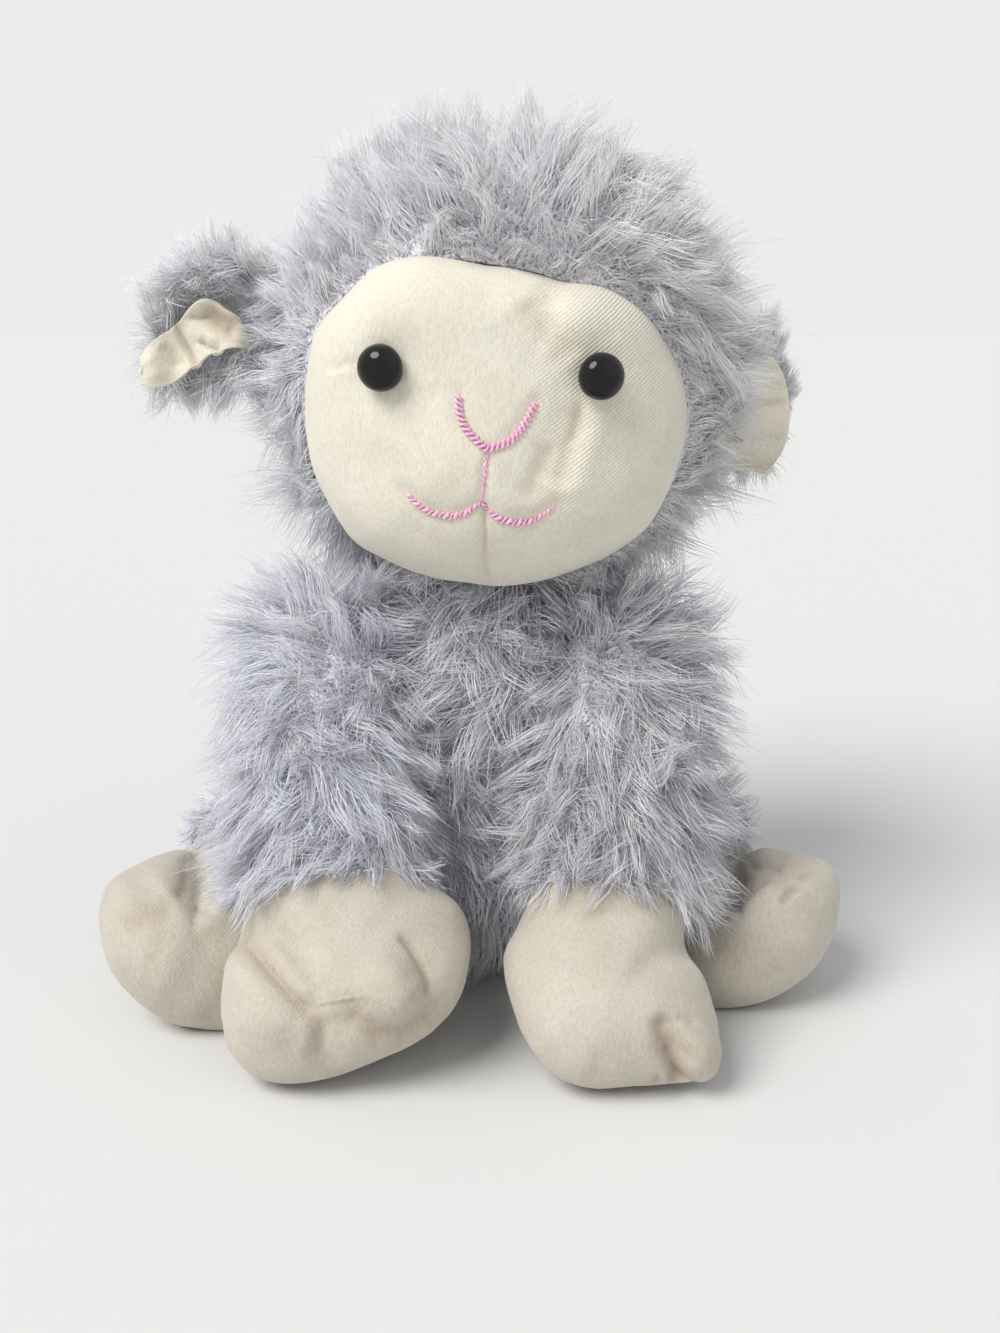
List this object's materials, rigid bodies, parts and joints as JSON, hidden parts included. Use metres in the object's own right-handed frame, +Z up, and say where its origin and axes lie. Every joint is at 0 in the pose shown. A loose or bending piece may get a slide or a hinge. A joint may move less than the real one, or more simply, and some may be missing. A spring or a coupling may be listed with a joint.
{
  "type": "plush sheep",
  "caption": "Sitting plush lamb with long shaggy fur, a smooth stuffed face and feet, glossy bead eyes, stitched nose and mouth, and floppy ears and legs.",
  "frame": {"origin": "on the flat seat under the body, on the surface that the toy sits on", "axes": "+Z up, the toy looks along -Y, and its own left side is +X"},
  "size_m": [0.224, 0.1898, 0.2519],
  "materials": {
    "lilac_fur": "satin",
    "white_stuffing": "matte",
    "pellet_bag_cloth": "matte",
    "cream_plush": "matte",
    "black_gloss_plastic": "gloss",
    "washer_plastic": "satin",
    "light_pink_thread": "satin",
    "deep_pink_thread": "satin"
  },
  "bodies": {
    "torso": {"body_cover": "lilac_fur", "body_filling": "white_stuffing", "seat_pellet_bag": "pellet_bag_cloth"},
    "neck": {"neck_filling": "white_stuffing"},
    "head": {"head_cover": "lilac_fur", "face_panel": "cream_plush", "head_filling": "white_stuffing", "right_eye": "black_gloss_plastic", "right_eye_washer": "washer_plastic", "left_eye": "black_gloss_plastic", "left_eye_washer": "washer_plastic", "nose_embroidery": "light_pink_thread", "philtrum_embroidery": "light_pink_thread", "mouth_embroidery": "deep_pink_thread"},
    "left_ear": {"left_ear_cover": "lilac_fur", "left_ear_lining": "cream_plush"},
    "right_ear": {"right_ear_cover": "lilac_fur", "right_ear_lining": "cream_plush"},
    "left_front_leg": {"left_front_leg_cover": "lilac_fur", "left_front_foot_cover": "cream_plush", "left_front_leg_filling": "white_stuffing"},
    "right_front_leg": {"right_front_leg_cover": "lilac_fur", "right_front_foot_cover": "cream_plush", "right_front_leg_filling": "white_stuffing"},
    "left_hind_leg": {"left_hind_leg_cover": "lilac_fur", "left_hind_foot_cover": "cream_plush", "left_hind_leg_filling": "white_stuffing"},
    "right_hind_leg": {"right_hind_leg_cover": "lilac_fur", "right_hind_foot_cover": "cream_plush", "right_hind_leg_filling": "white_stuffing"},
    "tail": {"tail_cover": "lilac_fur"}
  },
  "joints": [
    {"name": "neck_nod", "type": "hinge", "parent": "torso", "child": "neck", "pos_m": [0.004, 0.007, 0.1185], "axis": [1, 0, 0], "range_deg": [-12, 12], "stiffness_Nm_per_rad": 1.6},
    {"name": "neck_turn", "type": "hinge", "parent": "neck", "child": "head", "pos_m": [0.004, 0.007, 0.1185], "axis": [0, 0, 1], "range_deg": [-30, 30], "stiffness_Nm_per_rad": 0.5},
    {"name": "left_shoulder_swing", "type": "hinge", "parent": "torso", "child": "left_front_leg", "pos_m": [0.0445, -0.01, 0.101], "axis": [-1, 0, 0], "range_deg": [0, 45], "stiffness_Nm_per_rad": 0.15},
    {"name": "left_hip_swing", "type": "hinge", "parent": "torso", "child": "left_hind_leg", "pos_m": [0.0505, 0.014, 0.0345], "axis": [-1, 0, 0], "range_deg": [0, 16], "stiffness_Nm_per_rad": 0.15},
    {"name": "left_ear_flop", "type": "hinge", "parent": "head", "child": "left_ear", "pos_m": [0.07253, 0.01121, 0.18004], "axis": [-0.0855, 0, -0.9963], "range_deg": [-20, 20], "stiffness_Nm_per_rad": 0.06},
    {"name": "right_shoulder_swing", "type": "hinge", "parent": "torso", "child": "right_front_leg", "pos_m": [-0.043, -0.01, 0.101], "axis": [-1, 0, 0], "range_deg": [0, 45], "stiffness_Nm_per_rad": 0.15},
    {"name": "right_hip_swing", "type": "hinge", "parent": "torso", "child": "right_hind_leg", "pos_m": [-0.0505, 0.014, 0.0345], "axis": [-1, 0, 0], "range_deg": [0, 16], "stiffness_Nm_per_rad": 0.15},
    {"name": "right_ear_flop", "type": "hinge", "parent": "head", "child": "right_ear", "pos_m": [-0.05509, 0.00724, 0.20292], "axis": [0.27, 0, 0.9629], "range_deg": [-20, 20], "stiffness_Nm_per_rad": 0.06},
    {"name": "tail_wag", "type": "hinge", "parent": "torso", "child": "tail", "pos_m": [0, 0.0685, 0.038], "axis": [1, 0, 0], "range_deg": [0, 30], "stiffness_Nm_per_rad": 0.03}
  ]
}
